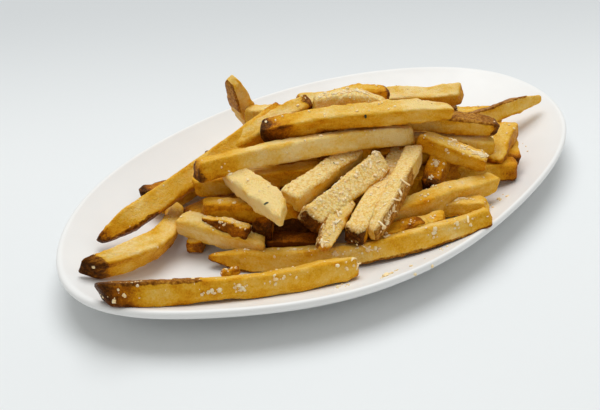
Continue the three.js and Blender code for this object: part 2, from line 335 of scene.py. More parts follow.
def blisters(places, spacing, radius, share):
    """Round bubbles about spacing apart, 1 at their tops and 0 between, on that share of the spots."""
    heights = np.zeros(len(places))
    for i, p in enumerate(places):
        near, spots = noise.voronoi(Vector(p) / spacing)
        if noise.cell(spots[0] * 7.7) < share:
            heights[i] = max(0, 1 - (near[0] * spacing / radius) ** 2)
    return heights


# ------------------------------------------------------------------------------------------------
# Finishes


def new_finish(name):
    finish = bpy.data.materials.new(name)
    finish.use_nodes = True
    tree = finish.node_tree
    return finish, tree, tree.nodes["Principled BSDF"]


def set_inputs(tree, node, inputs):
    """Links each of those inputs to a socket, or gives it a value."""
    for key, value in inputs.items():
        if isinstance(value, bpy.types.NodeSocket):
            tree.links.new(value, node.inputs[key])
        else:
            node.inputs[key].default_value = value


def add_node(tree, kind, inputs, **settings):
    made = tree.nodes.new(kind)
    for key, value in settings.items():
        setattr(made, key, value)
    set_inputs(tree, made, inputs)
    return made


def mark(tree, name, output="Fac"):
    """What a mesh says under that name, at each of its points."""
    return add_node(tree, "ShaderNodeAttribute", {}, attribute_name=name).outputs[output]


def own_place(tree):
    return add_node(tree, "ShaderNodeTexCoord", {}).outputs["Object"]


def speckle(tree, where, scale, detail=2.0, rough=0.5):
    inputs = {"Vector": where, "Scale": scale, "Detail": detail, "Roughness": rough}
    return add_node(tree, "ShaderNodeTexNoise", inputs).outputs["Fac"]


def grains(tree, where, scale):
    return add_node(tree, "ShaderNodeTexVoronoi", {"Vector": where, "Scale": scale}).outputs["Distance"]


def reckoned(tree, operation, first, second):
    return add_node(tree, "ShaderNodeMath", {0: first, 1: second}, operation=operation).outputs[0]


def sum_of(tree, *terms):
    """terms are (socket, factor, middle): the sum of factor * (socket - middle)."""
    total = None
    for socket, factor, middle in terms:
        scaled = reckoned(tree, "MULTIPLY", reckoned(tree, "SUBTRACT", socket, middle), factor)
        total = scaled if total is None else reckoned(tree, "ADD", total, scaled)
    return total


def eased(tree, socket, low, high, out_low=0.0, out_high=1.0):
    inputs = {"Value": socket, "From Min": low, "From Max": high, "To Min": out_low, "To Max": out_high}
    made = add_node(tree, "ShaderNodeMapRange", inputs, interpolation_type="SMOOTHSTEP")
    return made.outputs["Result"]


def shades(tree, socket, *stops):
    ramp = add_node(tree, "ShaderNodeValToRGB", {"Fac": socket})
    band = ramp.color_ramp
    while len(band.elements) < len(stops):
        band.elements.new(0.5)
    for element, (place, colour) in zip(band.elements, stops):
        element.position = place
        element.color = (*colour, 1)
    return ramp.outputs["Color"]


def mixed(tree, share, first, second):
    """Two colours mixed. A mix node's sockets 6 and 7 take colours, and its output 2 gives one."""
    made = add_node(tree, "ShaderNodeMix", {"Factor": share, 6: first, 7: second}, data_type="RGBA")
    return made.outputs[2]


def raised(tree, height, depth, strength=1.0, below=None):
    inputs = {"Height": height, "Distance": depth, "Strength": strength}
    if below is not None:
        inputs["Normal"] = below
    return add_node(tree, "ShaderNodeBump", inputs).outputs["Normal"]


def potato_finish():
    """Fried potato: cream where it fried least, golden to brown at edges and ends, brown skin, and a
    powder of cheese where it lies thick, painted darker in the crevices between its lumps. The browning it
    reads also carries painted shade, on faces that don't look up and on what lies deep in the heap."""
    finish, tree, shader = new_finish("fried_potato")
    place = mark(tree, "fry_place", "Vector")
    browning_and_shade, skin, dust = mark(tree, "browning_and_shade"), mark(tree, "skin"), mark(tree, "dust")
    stretched = add_node(tree, "ShaderNodeMapping", {"Vector": place, "Scale": (0.5, 1, 1)}).outputs["Vector"]
    clouds = speckle(tree, stretched, 0.16, 2)
    patches = speckle(tree, stretched, 0.42, 3)
    spots = speckle(tree, place, 0.8, 3, 0.6)
    grain = speckle(tree, place, 1.6, 4, 0.62)
    crust = sum_of(
        tree,
        (browning_and_shade, 1, 0),
        (clouds, 0.56, 0.5),
        (patches, 0.5, 0.5),
        (spots, 0.32, 0.5),
        (grain, 0.28, 0.5),
    )
    flesh = shades(
        tree, crust,
        (0.0, (0.95, 0.70, 0.29)),
        (0.2, (0.88, 0.55, 0.11)),
        (0.4, (0.81, 0.415, 0.02)),
        (0.58, (0.67, 0.265, 0.004)),
        (0.76, (0.37, 0.105, 0.002)),
        (1.0, (0.10, 0.022, 0.001)),
    )
    mottle = speckle(tree, place, 0.75, 5, 0.7)
    depth_of_skin = sum_of(tree, (mottle, 1, 0), (browning_and_shade, -0.3, 0.42))
    peel = shades(
        tree, depth_of_skin,
        (0.22, (0.04, 0.008, 0.001)),
        (0.38, (0.14, 0.038, 0.002)),
        (0.52, (0.32, 0.11, 0.006)),
        (0.68, (0.58, 0.27, 0.035)),
    )
    ragged = sum_of(tree, (skin, 1, 0), (patches, 0.9, 0.5), (spots, 0.6, 0.5))
    bare = mixed(tree, eased(tree, ragged, 0.32, 0.6), flesh, peel)
    lumps = grains(tree, place, 0.85)
    powder = sum_of(tree, (dust, 0.9, 0), (patches, 0.9, 0.5), (grains(tree, place, 1.6), -0.35, 0.42))
    covered = eased(tree, powder, 0.3, 0.7, 0, 0.75)
    # Painted shade: the powder's colour is darker in the crevices between its lumps.
    tint = sum_of(tree, (speckle(tree, place, 1.7, 3), 1, 0), (lumps, -0.5, 0.4))
    white = shades(
        tree, tint, (0.24, (0.76, 0.43, 0.09)), (0.38, (0.92, 0.62, 0.20)), (0.58, (0.99, 0.79, 0.40)),
    )
    lumpy = raised(tree, spots, 0.5 * MM, 0.7)
    pitted = raised(tree, grain, 0.45 * MM, 0.7, lumpy)
    lumpy_crust = reckoned(tree, "MULTIPLY", covered, lumps)
    crumbly = raised(tree, sum_of(tree, (covered, 0.5, 0), (lumpy_crust, -1.2, 0)), 0.5 * MM, 0.5, pitted)
    set_inputs(tree, shader, {
        "Base Color": mixed(tree, covered, bare, white),
        "Roughness": eased(tree, grain, 0.3, 0.7, 0.38, 0.62),
        "Specular IOR Level": 0.2,
        "Specular Tint": (1.0, 0.66, 0.22, 1),
        "Subsurface Weight": 0.15,
        "Subsurface Radius": (1.0, 0.45, 0.1),
        "Subsurface Scale": 1.5 * MM,
        "Normal": crumbly,
    })
    return finish


def glaze_finish():
    """White glaze with a faint warm cloudiness and a slightly uneven, glossy skin."""
    finish, tree, shader = new_finish("white_glaze")
    place = own_place(tree)
    clouds = speckle(tree, place, 26, 3)
    set_inputs(tree, shader, {
        "Base Color": shades(tree, clouds, (0.3, (0.87, 0.865, 0.85)), (0.7, (0.90, 0.895, 0.88))),
        "Roughness": eased(tree, speckle(tree, place, 90, 2), 0.3, 0.7, 0.3, 0.42),
        "Specular IOR Level": 0.3,
        "Normal": raised(tree, speckle(tree, place, 60, 2), 0.25 * MM, 0.35),
    })
    return finish


def bisque_finish():
    """Bare fired clay where the foot was wiped clean of glaze."""
    finish, tree, shader = new_finish("bare_clay")
    place = own_place(tree)
    grain = speckle(tree, place, 900, 4, 0.6)
    set_inputs(tree, shader, {
        "Base Color": shades(tree, grain, (0.3, (0.60, 0.56, 0.50)), (0.7, (0.72, 0.68, 0.62))),
        "Roughness": 0.85,
        "Normal": raised(tree, grain, 0.1 * MM, 0.5),
    })
    return finish


def cheese_finish():
    """Grated cheese, dry and crumbly, cream with warmer spots."""
    finish, tree, shader = new_finish("grated_cheese")
    place = own_place(tree)
    tint = speckle(tree, place, 420, 3)
    colour = shades(
        tree, tint, (0.34, (0.95, 0.64, 0.30)), (0.48, (0.99, 0.74, 0.41)), (0.7, (1.0, 0.85, 0.56)),
    )
    set_inputs(tree, shader, {
        "Base Color": colour,
        "Roughness": eased(tree, tint, 0.3, 0.7, 0.5, 0.75),
        "Specular IOR Level": 0.3,
        "Subsurface Weight": 0.3,
        "Subsurface Radius": (1.0, 0.8, 0.45),
        "Subsurface Scale": 1 * MM,
        "Normal": raised(tree, speckle(tree, place, 1500, 3), 0.2 * MM, 0.5),
    })
    return finish


def herb_finish():
    """Dried herb, nearly black green."""
    finish, tree, shader = new_finish("dried_herb")
    place = own_place(tree)
    tint = speckle(tree, place, 900, 3)
    colour = shades(tree, tint, (0.3, (0.018, 0.022, 0.006)), (0.7, (0.06, 0.07, 0.015)))
    set_inputs(tree, shader, {"Base Color": colour, "Roughness": 0.7})
    return finish


# Which way the table's far end lies, as the turn that brings it onto the X axis.
FAR_END_WAY = math.radians(-47.5)


def table_finish():
    """A matt white table top, with painted shade that greys it towards its far end."""
    finish, tree, shader = new_finish("white_table")
    place = own_place(tree)
    turned = add_node(tree, "ShaderNodeMapping", {"Vector": place, "Rotation": (0, 0, FAR_END_WAY)})
    away = add_node(tree, "ShaderNodeSeparateXYZ", {"Vector": turned.outputs["Vector"]}).outputs["X"]
    clouds = speckle(tree, place, 3, 2)
    near = shades(tree, clouds, (0.3, (0.80, 0.82, 0.83)), (0.7, (0.82, 0.84, 0.85)))
    far = shades(tree, clouds, (0.3, (0.58, 0.60, 0.615)), (0.7, (0.59, 0.61, 0.625)))
    # Painted shade: the colour greys from near to far, where less light falls.
    colour = mixed(tree, eased(tree, away, 0.02, 0.3), near, far)
    set_inputs(tree, shader, {"Base Color": colour, "Roughness": 0.6})
    return finish


# ------------------------------------------------------------------------------------------------
# Plate

# How many straight sides its outline is made of.
PLATE_SIDES = 192
# What faces down this near the table, in mm, was wiped clean of glaze.
BARE_BELOW = 0.1


def edge_factor(angle):
    """How much further out than an ellipse the plate's edge is, that way."""
    return 1 + sum(c * np.cos(n * angle) + s * np.sin(n * angle) for n, c, s in EDGE_WAVES)


def share_out(x, y):
    """How far out a place on the plate is, from 0 in its middle to 1 at its edge. x and y in mm."""
    across, along = x / PLATE_HALF_LONG, y / PLATE_HALF_WIDE
    return np.hypot(across, along) / edge_factor(np.arctan2(along, across))


def wall_height(share):
    """The height of the glaze, in mm, that share of the way out."""
    climb = np.clip((share - FLOOR_SHARE) / (WALL_TOP_SHARE - FLOOR_SHARE), 0, 1)
    return FLOOR_HEIGHT + (WALL_TOP_HEIGHT - FLOOR_HEIGHT) * climb**WALL_CURVE


def plate_rings():
    """The plate's section as (share of the way out, height), from the foot out, over the lip and in."""
    foot = [(0.2, 0), (0.45, 0), (0.585, 0), (FOOT_SHARE, 0.25), (FOOT_SHARE + 0.006, 0.9)]
    under = [(s, wall_height(s) - PLATE_THICK) for s in (0.65, 0.7, 0.75, 0.8, 0.85, 0.9, 0.94, 0.965)]
    low, top = RIM_HEIGHT - LIP_FACE, RIM_HEIGHT
    lip = [
        (0.98, low - 0.5), (0.99, low - 0.25), (0.9965, low + 0.35), (1.0, low + 1.2), (1.0, low + 1.9),
        (0.9975, top - 0.45), (0.993, top - 0.1), (0.987, top), (0.981, top - 0.1), (0.975, top - 0.4),
    ]
    down = (0.965, 0.95, 0.92, 0.89, 0.86, 0.83, 0.8, 0.77, 0.74, 0.71, 0.68, 0.65)
    inner = [(s, wall_height(s)) for s in down]
    floor = [(s, FLOOR_HEIGHT) for s in (0.6, 0.5, 0.35, 0.2)]
    return foot + under + lip + inner + floor


def make_plate():
    """The plate, drawn out ring by ring from its foot and then stretched to its oval."""
    rings = plate_rings()
    share, height = rings[0]
    nothing_selected()
    bpy.ops.mesh.primitive_circle_add(
        vertices=PLATE_SIDES, radius=share, fill_type="NGON", location=(0, 0, height * MM),
    )
    plate = bpy.context.object
    plate.name = "plate_glazed"
    bpy.ops.object.mode_set(mode="EDIT")
    pick("EDGE", lambda e: e.is_boundary)
    for next_share, next_height in rings[1:]:
        bpy.ops.mesh.extrude_region_move()
        grow = next_share / share
        bpy.ops.transform.resize(value=(grow, grow, 1), center_override=(0, 0, 0))
        bpy.ops.transform.translate(value=(0, 0, (next_height - height) * MM))
        share, height = next_share, next_height
    bpy.ops.mesh.edge_face_add()
    bpy.ops.mesh.select_all(action="SELECT")
    bpy.ops.mesh.normals_make_consistent(inside=False)
    bpy.ops.object.mode_set(mode="OBJECT")
    bpy.ops.object.transform_apply(location=True, rotation=True, scale=True)
    points = points_of(plate.data)
    factor = edge_factor(np.arctan2(points[:, 1], points[:, 0]))
    points[:, 0] *= PLATE_HALF_LONG * factor * MM
    points[:, 1] *= PLATE_HALF_WIDE * factor * MM
    set_points(plate.data, points)
    plate.data.materials.append(glaze_finish())
    plate.data.materials.append(bisque_finish())
    for face in plate.data.polygons:
        face.material_index = int(face.center.z < BARE_BELOW * MM and face.normal.z < -0.9)
    bpy.ops.object.shade_smooth()
    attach(plate, "root")
    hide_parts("plate")
    return plate


# ------------------------------------------------------------------------------------------------
# Fries

# Where the rings nearest an end sit, in mm from it, and how much smaller each is, to round the cut.
END_RINGS = ((0, 0.74), (0.4, 0.89), (1.1, 0.98))
# Rings cut along a stick that shows and along one deep in the heap, and cuts across each face.
FINE_CUTS = 80
PLAIN_CUTS = 40
CUTS_ACROSS = 4

# On the raw stick, whose faces lie 0.5 from its middle line: past FACE_AT a spot is on the face, and from
# CORNER_AT, over CORNER_SOFT, it nears it.
FACE_AT = 0.46
CORNER_AT = 0.3
CORNER_SOFT = 0.16

# The section: how uneven the fry is along its length, how far its faces sink, what skin adds, and how far
# it may lean and pinch, all as shares. The waves are in mm.
UNEVEN = 0.14
WIDTH_WAVE = 18
HEIGHT_WAVE = 21
SUNK = 0.05
SUNK_WAVE = 11
SKIN_ADDS = 0.06
MOST_LEAN = 0.14
MOST_PINCH = 0.16

# Lumps of several sizes: how high and how far apart, in mm, and which noise.
FRY_LUMPS = ((0.42, 7.5, 1), (0.3, 3.2, 2), (0.16, 1.5, 7))
CORE_LUMPS = ((1.2, 6, 1), (0.5, 2.5, 2))
# Bubbles in the crust, and grains of powder: their height, and then their spacing, radius and share.
BUBBLE_HEIGHT = 0.35
BUBBLES = (4.2, 1.4, 0.35)
GRAIN_HEIGHT = 0.3
GRAINS = (1.7, 0.9, 0.7)
# How deep the long edges are nibbled and how far apart, in mm.
NIBBLE_DEPTH = 0.9
NIBBLE_SIZE = 4.1

# Ends: how far aslant they may be cut, sideways and in height, how far into the fry that reaches, and how
# deep and how coarse they are torn, in mm.
MOST_SLANT = (0.4, 0.3)
SLANT_REACH = 5
TORN_DEPTH = 0.7
TORN_SIZE = 2.4

# How far a whole fry wanders sideways and in height, in mm, over how many waves, and twists, in degrees.
WANDER_ASIDE = 1.0
WANDER_UP = 0.8
WANDER_WAVES = 3.1
MOST_TWIST = 9

# What each adds to the browning: a tone of 1, a long edge, a cut, patches, a browned end, a peeled end.
TONE_BROWN = 0.55
EDGE_BROWN = 0.3
CUT_BROWN = 0.14
PATCH_BROWN = 0.12
END_BROWN = 0.36
PEEL_BROWN = 0.3
# Over what share of the fry's length its skin ends, past skin_span.
SKIN_FADE = 0.06
# Over how many mm a browned and a peeled end fade, and by how many their limits waver.
BROWN_FADE = 14
PEEL_FADE = 3
END_WAVER = 2.6
# How much of its powder a face keeps that looks sideways.
DUST_ON_SIDES = 0.35


def lump_height(places, kinds):
    """How high lumps of all those kinds together stand at each place."""
    return sum(height * waver(places, size, seed) for height, size, seed in kinds)


def cut_stick(cuts_along):
    """A raw potato stick, one long by one by one: a cube cut into rings, with its long edges eased."""
    stick = new_cube()
    for axis, cuts in enumerate((cuts_along, CUTS_ACROSS, CUTS_ACROSS)):
        pick("EDGE", lambda e, a=axis: abs((e.verts[0].co - e.verts[1].co).normalized()[a]) > 0.9)
        bpy.ops.mesh.subdivide(number_cuts=cuts)
    corner = 0.499
    pick("EDGE", lambda e: all(abs(v.co.y) > corner and abs(v.co.z) > corner for v in e.verts))
    bpy.ops.mesh.bevel(offset=0.17, segments=4, profile=0.5)
    bpy.ops.object.mode_set(mode="OBJECT")
    mesh = stick.data
    bpy.data.objects.remove(stick)
    return mesh


def ways_of(f):
    """A fry's start, its run to the other end, and its own directions: level and rise before its turn
    about its length, left and up after it."""
    start = Vector(f["start"])
    run = Vector(f["end"]) - start
    along = run.normalized()
    level = UP.cross(along).normalized()
    rise = along.cross(level)
    turned = Matrix.Rotation(math.radians(f["turn"]), 3, along)
    return start, run, level, rise, turned @ level, turned @ rise


def place_on(f, share):
    """Where the fry's middle line is, that share of the way along it."""
    start, run, level, rise, _, _ = ways_of(f)
    bow = 4 * share * (1 - share)
    return start + run * share - level * f["bend"] * bow + rise * f["arch"] * bow


def taper_at(tip, distance):
    """How much of the section is left that far, in mm, from an end with that tip."""
    return tip + (1 - tip) * np.clip(distance / TAPER_LENGTH, 0, 1) ** 0.7


def skin_left(f, y, z, share):
    """1 on the sides that keep their skin, falling to 0 round the corners and past skin_span."""
    ways = {"left": y, "right": -y, "top": z, "under": -z}
    best = np.zeros(len(y))
    for side in f["skin"].split():
        best = np.maximum(best, np.clip((ways[side] - CORNER_AT) / CORNER_SOFT, 0, 1))
    first, last = f["skin_span"]
    after = 1 if first == 0 else np.clip((share - first) / SKIN_FADE, 0, 1)
    before = 1 if last == 1 else np.clip((last - share) / SKIN_FADE, 0, 1)
    return best * after * before


def end_fade(lengths, from_start, from_end, softness):
    """1 at the ends, falling to 0 over the softness, about the given lengths from each."""
    fade = np.zeros(len(from_start))
    for length, distance in zip(lengths, (from_start, from_end)):
        if length:
            fade = np.maximum(fade, np.clip((length - distance) / softness + 0.5, 0, 1))
    return fade


def shape_fry(stick, f, number):
    """Copies the raw stick and lays it in its place, shrunk, bowed and blistered as frying leaves it."""
    mesh = stick.copy()
    chance = random.Random(number)
    raw = points_of(mesh)
    start, run, level, rise, left, up = ways_of(f)
    length = run.length
    y, z = raw[:, 1], raw[:, 2]
    rings = np.unique(np.round(raw[:, 0], 4))
    ring = np.searchsorted(rings, np.round(raw[:, 0], 4))
    last = len(rings) - 1
    to_end = np.minimum(ring, last - ring)
    near = [distance for distance, _ in END_RINGS]
    count = len(near)
    spots = list(range(count)) + [last - i for i in reversed(range(count))]
    x = np.interp(ring, spots, near + [length - d for d in reversed(near)])
    share = x / length
    near_end = np.minimum(x, length - x)

    # The section: not quite square, tapered ends, uneven width, faces sunk between proud edges.
    taper = np.minimum(taper_at(f["tips"][0], x), taper_at(f["tips"][1], length - x))
    for i, (_, size) in enumerate(END_RINGS):
        taper = taper * np.where(to_end == i, size, 1)
    line = np.stack([x, x * 0, x * 0], 1)
    wide = f["wide"] * (1 + UNEVEN * waver(line, WIDTH_WAVE, number + 0.3)) * taper
    tall = f["tall"] * (1 + UNEVEN * waver(line, HEIGHT_WAVE, number + 0.7)) * taper
    lean, pinch = (chance.uniform(-most, most) for most in (MOST_LEAN, MOST_PINCH))
    hollow = SUNK + SUNK * waver(line, SUNK_WAVE, number + 0.9)
    side_face = (np.abs(y) > FACE_AT) * (1 - (2 * z) ** 2)
    flat_face = (np.abs(z) > FACE_AT) * (1 - (2 * y) ** 2)
    skin = skin_left(f, y, z, share)
    across = y * wide * (1 - hollow * side_face) * (1 + SKIN_ADDS * skin) * (1 + pinch * z)
    across += lean * z * tall
    above = z * tall * (1 - hollow * flat_face) * (1 + SKIN_ADDS * skin)

    # Uneven frying: lumps, bubbles, nibbled edges, ends torn and cut aslant.
    place = np.stack([x + number * 131.0, across, above], 1)
    near_y, near_z = (np.clip((np.abs(v) - CORNER_AT) / CORNER_SOFT, 0, 1) for v in (y, z))
    corner = near_y * near_z
    swell = lump_height(place, FRY_LUMPS)
    swell += BUBBLE_HEIGHT * blisters(place, *BUBBLES) + GRAIN_HEIGHT * f["dust"] * blisters(place, *GRAINS)
    swell -= NIBBLE_DEPTH * corner * np.clip(waver(place, NIBBLE_SIZE, 3), 0, 1)
    outward = np.stack([across, above], 1)
    reach = np.linalg.norm(outward, axis=1) + 1e-6
    outward *= (1 + swell / np.maximum(reach, 1))[:, None]
    slant_y, slant_z = (chance.uniform(-most, most) for most in MOST_SLANT)
    end_way = np.where(ring < last / 2, -1, 1)
    first_y, first_z = (-set_by_hand or torn for set_by_hand, torn in zip(f["slant"], (slant_y, slant_z)))
    slant_y, slant_z = (np.where(ring < last / 2, *pair) for pair in ((first_y, slant_y), (first_z, slant_z)))
    x = x + end_way * np.exp(-near_end / SLANT_REACH) * (slant_y * outward[:, 0] + slant_z * outward[:, 1])
    x = x + np.where(to_end == 0, TORN_DEPTH * waver(place, TORN_SIZE, 4), 0)

    # The bow and the small waver and twist of the whole stick.
    bow = 4 * share * (1 - share)
    drift = np.stack([share * WANDER_WAVES, share * 0, share * 0], 1)
    aside = WANDER_ASIDE * waver(drift, 1, number + 0.11) * bow - f["bend"] * bow
    lift = WANDER_UP * waver(drift, 1, number + 0.57) * bow + f["arch"] * bow
    twist = math.radians(f["twist"] + chance.uniform(-MOST_TWIST, MOST_TWIST)) * (share - 0.5)
    turned_y = outward[:, 0] * np.cos(twist) - outward[:, 1] * np.sin(twist)
    turned_z = outward[:, 0] * np.sin(twist) + outward[:, 1] * np.cos(twist)
    points = np.array(start) + np.outer(x / length, np.array(run))
    points += np.outer(aside, np.array(level)) + np.outer(lift, np.array(rise))
    points += np.outer(turned_y, np.array(left)) + np.outer(turned_z, np.array(up))

    # It lies on the glaze and never in it.
    ground = wall_height(share_out(points[:, 0], points[:, 1])) + GAP
    points[:, 2] = np.maximum(points[:, 2], ground)
    set_points(mesh, points * MM)

    # What the finish reads: how brown each spot is, with painted shade on the faces that don't look up, where
    # skin is left and where cheese powder lies.
    upward = normals_of(mesh)[:, 2]
    edge = np.clip((np.maximum(np.abs(y), np.abs(z)) - 0.30) / 0.2, 0, 1)
    edge *= np.clip((np.minimum(np.abs(y), np.abs(z)) - 0.22) / 0.24, 0, 1)
    edge *= np.clip(0.25 + 1.9 * waver(place, 8, 8), 0, 1.1)
    last_tone = f["tone"] if f["tone_end"] is None else f["tone_end"]
    tone = f["tone"] + (last_tone - f["tone"]) * share
    browning_and_shade = TONE_BROWN * tone + EDGE_BROWN * edge + CUT_BROWN * np.exp(-near_end / 2)
    # Painted shade: faces that don't look up are coloured darker, by the fry's sides.
    browning_and_shade += f["sides"] * (1 - np.clip(1.2 * upward, 0, 1)) + PATCH_BROWN * waver(place, 14, 5)
    waves = END_WAVER * waver(place, 4, 6)
    browned = end_fade(f["brown"], x + waves, length - x + waves, BROWN_FADE)
    peeled = end_fade(f["peel"], x + waves, length - x + waves, PEEL_FADE)
    keep_numbers(mesh, "browning_and_shade", browning_and_shade + END_BROWN * browned + PEEL_BROWN * peeled)
    keep_numbers(mesh, "skin", np.maximum(skin, peeled))
    keep_numbers(mesh, "dust", f["dust"] * np.clip(DUST_ON_SIDES + upward * 1.5, 0, 1))
    keep_places(mesh, "fry_place", place)
    return mesh


def make_fries(finish, name, fries, stick, first_number, node, slot):
    """Lays the fries of one layer and joins them to one piece."""
    laid = [link(name, shape_fry(stick, f, number)) for number, f in enumerate(fries.values(), first_number)]
    nothing_selected()
    for one in laid:
        one.select_set(True)
    bpy.context.view_layer.objects.active = laid[0]
    if len(laid) > 1:
        bpy.ops.object.join()
    piece = bpy.context.object
    piece.name = name
    piece.data.materials.clear()
    piece.data.materials.append(finish)
    bpy.ops.object.shade_smooth()
    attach(piece, "root")
    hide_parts(node)
    return piece


# The core: its middle, half its length and width, its top, in mm, its turn in degrees and how dark it is
# painted, as shade.
CORE_AT = (-8, -6)
CORE_HALF_LONG = 45
CORE_HALF_WIDE = 26
CORE_TOP = 23.5
CORE_TURN = -22
CORE_SHADE_DARKNESS = 0.95


def make_core(finish):
    """A lumpy mound at the bottom of the heap, painted dark as shade, that shows only down the gaps."""
    nothing_selected()
    bpy.ops.mesh.primitive_uv_sphere_add(segments=96, ring_count=48, radius=1)
    core = bpy.context.object
    core.name = "heap_core"
    bpy.ops.object.mode_set(mode="EDIT")
    bpy.ops.mesh.select_all(action="SELECT")
    bpy.ops.transform.resize(value=(CORE_HALF_LONG * MM, CORE_HALF_WIDE * MM, (CORE_TOP - FLOOR_HEIGHT) * MM))
    turn = Matrix.Rotation(math.radians(CORE_TURN), 3, "Z").to_4x4()
    bpy.ops.object.mode_set(mode="OBJECT")
    core.data.transform(Matrix.Translation((*(v * MM for v in CORE_AT), FLOOR_HEIGHT * MM)) @ turn)
    points = points_of(core.data) / MM
    ways = normals_of(core.data)
    points += ways * lump_height(points, CORE_LUMPS)[:, None]
    points[:, 2] = np.maximum(points[:, 2], wall_height(share_out(points[:, 0], points[:, 1])) + GAP)
    set_points(core.data, points * MM)
    count = len(points)
    # Painted shade: the whole core takes one dark browning.
    keep_numbers(core.data, "browning_and_shade", np.full(count, CORE_SHADE_DARKNESS))
    keep_numbers(core.data, "skin", np.zeros(count))
    keep_numbers(core.data, "dust", np.zeros(count))
    keep_places(core.data, "fry_place", points)
    core.data.materials.append(finish)
    bpy.ops.object.shade_smooth()
    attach(core, "root")
    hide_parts("fries")
    return core


# ------------------------------------------------------------------------------------------------
# Cheese and herbs

# Crumbs: how many shapes of them there are, how long most are in mm, loose, in a drift and on the plate,
# how far that varies, as the spread of its logarithm, and the least and the most that it comes to.
CRUMB_KINDS = 6
LOOSE_CRUMB = 0.8
DRIFT_CRUMB = 0.95
PLATE_CRUMB = 0.9
CRUMB_VARIES = 0.4
LEAST_CRUMB = 0.4
MOST_CRUMB = 2.2
# How far above the surface a crumb's middle lies, as a share of its thickness.
CRUMB_SITS = 0.12
# Length, width and thickness of a crumb on the lip and of a fleck of herb, in mm.
LIP_CRUMB_SIZES = (1.5, 1.0, 0.8)
HERB_SIZES = (1.9, 1.1, 0.3)
# The seed of all that is drawn at random for the cheese.
CHEESE_SEED = 7

# Loose crumbs: drifts on each fry, the share of crumbs that lie in them, their spread as a share of the
# fry's length and in degrees round it, and how often one that finds no open place is dropped again.
FRY_DRIFTS = 4
IN_DRIFTS = 0.6
ALONG_SPREAD = 0.05
ROUND_SPREAD = 32
TRIES = 4
# The spread round a fry, in degrees, of the crumbs and shreds of a drift that stands out.
DRIFT_ROUND_SPREAD = 12

# Shreds: their length, width and thickness in mm, from least to most, and how far they curl, in radians.
SHRED_LONG = (2.2, 4.8)
SHRED_WIDE = (0.5, 0.9)
SHRED_THICK = (0.3, 0.5)
MOST_CURL = 0.9
# How a shred is draped: from how high up it feels for the surface, how far below its middle it no longer
# follows it, in mm, how steeply it then hangs, and how steep it may fall and rise at all.
FEEL_FROM = 5
FOLLOW_DOWN = 6
HANG = 0.5
STEEPEST_FALL = 0.6
STEEPEST_RISE = 0.9
# A height, in mm, below everything.
NOTHING_THERE = -1

# From how far off a bit falls on a fry, from how high above the table on the plate, and from how far
# outside on the lip, how far below the rim, all in mm.
FALL_ON_FRY = 30
FALL_ON_PLATE = 80
FALL_ON_LIP = 20
LIP_CRUMB_BELOW = 1.5
# How far out crumbs may lie on the glaze, as a share of the way to the edge.
CRUMBS_WITHIN = 0.96


class Surface:
    """The pieces that something can fall on."""

    def __init__(self, pieces):
        graph = bpy.context.evaluated_depsgraph_get()
        self.trees = [BVHTree.FromObject(piece, graph) for piece in pieces]

    def meet(self, origin, way):
        """The first place, in mm, that a straight way from origin meets, with the surface's normal."""
        found = None
        for tree in self.trees:
            spot, normal, _, distance = tree.ray_cast(origin * MM, way)
            if spot is not None and (found is None or distance < found[2]):
                found = (spot / MM, normal, distance)
        return found


def faces_taken_from(pattern):
    """The faces of a finished pattern, which is then removed."""
    faces = np.array([list(face.vertices) for face in pattern.data.polygons])
    bpy.data.objects.remove(pattern)
    return faces


def bit_shape(number):
    """A crumb about 1 across: a cube cut once each way, knocked out of shape."""
    crumb = new_cube()
    bpy.ops.mesh.subdivide(number_cuts=1)
    bpy.ops.object.mode_set(mode="OBJECT")
    points = points_of(crumb.data)
    points *= (0.5 / np.linalg.norm(points, axis=1, keepdims=True).clip(0.3)) ** 0.7
    points += 0.3 * np.stack([waver(points, 0.4, number + i / 3) for i in range(3)], 1)
    return points, faces_taken_from(crumb)


def shred_shape():
    """A straight shred, one long by one by one: a cube cut into rings along it, with narrow ends."""
    shred = new_cube()
    pick("EDGE", lambda e: abs(e.verts[0].co.x - e.verts[1].co.x) > 0.9)
    bpy.ops.mesh.subdivide(number_cuts=6)
    bpy.ops.object.mode_set(mode="OBJECT")
    points = points_of(shred.data)
    points[:, 1:] *= np.where(np.abs(points[:, :1]) > 0.49, 0.5, 1)
    return points, faces_taken_from(shred)


def lay_bit(shape, spot, normal, sizes, chance):
    """A crumb laid on a surface, turned at random about its normal."""
    points, faces = shape
    turn = Matrix.Rotation(chance.uniform(0, math.tau), 3, "Z")
    stand = normal.to_track_quat("Z", "Y").to_matrix() @ turn
    laid = (points * sizes) @ np.array(stand).T
    return laid + np.array(spot + normal * CRUMB_SITS * sizes[2]), faces


def lay_shred(shape, surface, middle, heading, length, wide, thick, chance):
    """A shred draped over whatever lies under it."""
    points, faces = shape
    stations = np.unique(np.round(points[:, 0], 4))
    curl = chance.uniform(-MOST_CURL, MOST_CURL) / length
    route, angle, spot = [], heading - curl * length / 2, middle.copy()
    spot -= Vector((math.cos(heading), math.sin(heading), 0)) * length / 2
    step = length / (len(stations) - 1)
    for _ in stations:
        met = surface.meet(spot + UP * FEEL_FROM, -UP)
        height = met[0].z + thick * 0.4 if met else NOTHING_THERE
        if height < middle.z - FOLLOW_DOWN:
            height = route[-1].z - HANG * step if route else middle.z
        if route:
            before = route[-1].z
            height = min(max(height, before - STEEPEST_FALL * step), before + STEEPEST_RISE * step)
        route.append(Vector((spot.x, spot.y, height)))
        spot += Vector((math.cos(angle), math.sin(angle), 0)) * step
        angle += curl * step
    ring = np.searchsorted(stations, np.round(points[:, 0], 4))
    laid = np.zeros_like(points)
    for i in range(len(stations)):
        ahead = (route[min(i + 1, len(route) - 1)] - route[max(i - 1, 0)]).normalized()
        side = UP.cross(ahead).normalized()
        top = ahead.cross(side)
        here = ring == i
        section = np.outer(points[here, 1] * wide, np.array(side))
        section += np.outer(points[here, 2] * thick, np.array(top))
        laid[here] = np.array(route[i]) + section
    return laid, faces


